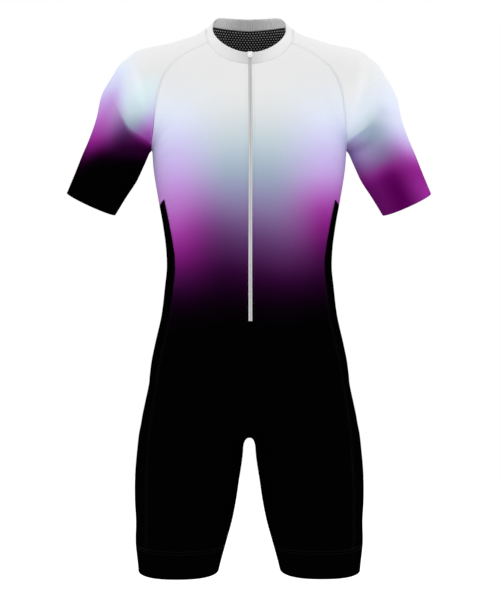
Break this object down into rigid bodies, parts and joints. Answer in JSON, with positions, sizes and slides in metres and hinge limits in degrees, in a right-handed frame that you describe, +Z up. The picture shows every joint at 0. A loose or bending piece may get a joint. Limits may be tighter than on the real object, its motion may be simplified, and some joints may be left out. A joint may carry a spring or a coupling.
{
  "type": "triathlon suit",
  "caption": "Short-sleeved, short-legged one-piece suit, filled out as worn, with raglan sleeves, a stand collar, a front zip, side panels and leg bands.",
  "frame": {"origin": "centre of the neck base, where the wearer's shoulders carry the suit", "axes": "+Z up, +X towards the wearer's left, the front faces -Y"},
  "size_m": [0.6176, 0.229, 0.9514],
  "materials": {
    "printed_knit": "smooth matt stretch knit, printed in a fade from white over pale aqua and violet to black",
    "printed_mesh": "fine mesh knit, black inside, printed outside like the front",
    "white_knit": "smooth matt stretch knit",
    "black_knit": "smooth matt stretch knit",
    "black_band": "matt elastic band",
    "zip_tape": "woven tape with a covered coil",
    "white_enamel": "white enamel"
  },
  "bodies": {
    "suit": {"front": "printed_knit", "back": "printed_mesh", "sleeve_left": "printed_knit", "sleeve_right": "printed_knit", "collar": "white_knit", "side_panel_left": "black_knit", "side_panel_right": "black_knit", "leg_band_left": "black_band", "leg_band_right": "black_band", "zip": "zip_tape", "zip_slider": "white_enamel"},
    "pull": {"zip_pull": "white_enamel"}
  },
  "joints": [
    {"name": "pull_hinge", "type": "hinge", "parent": "suit", "child": "pull", "pos_m": [0, -0.06476, -0.01985], "axis": [-1, 0, 0], "range_deg": [0, 150]}
  ]
}
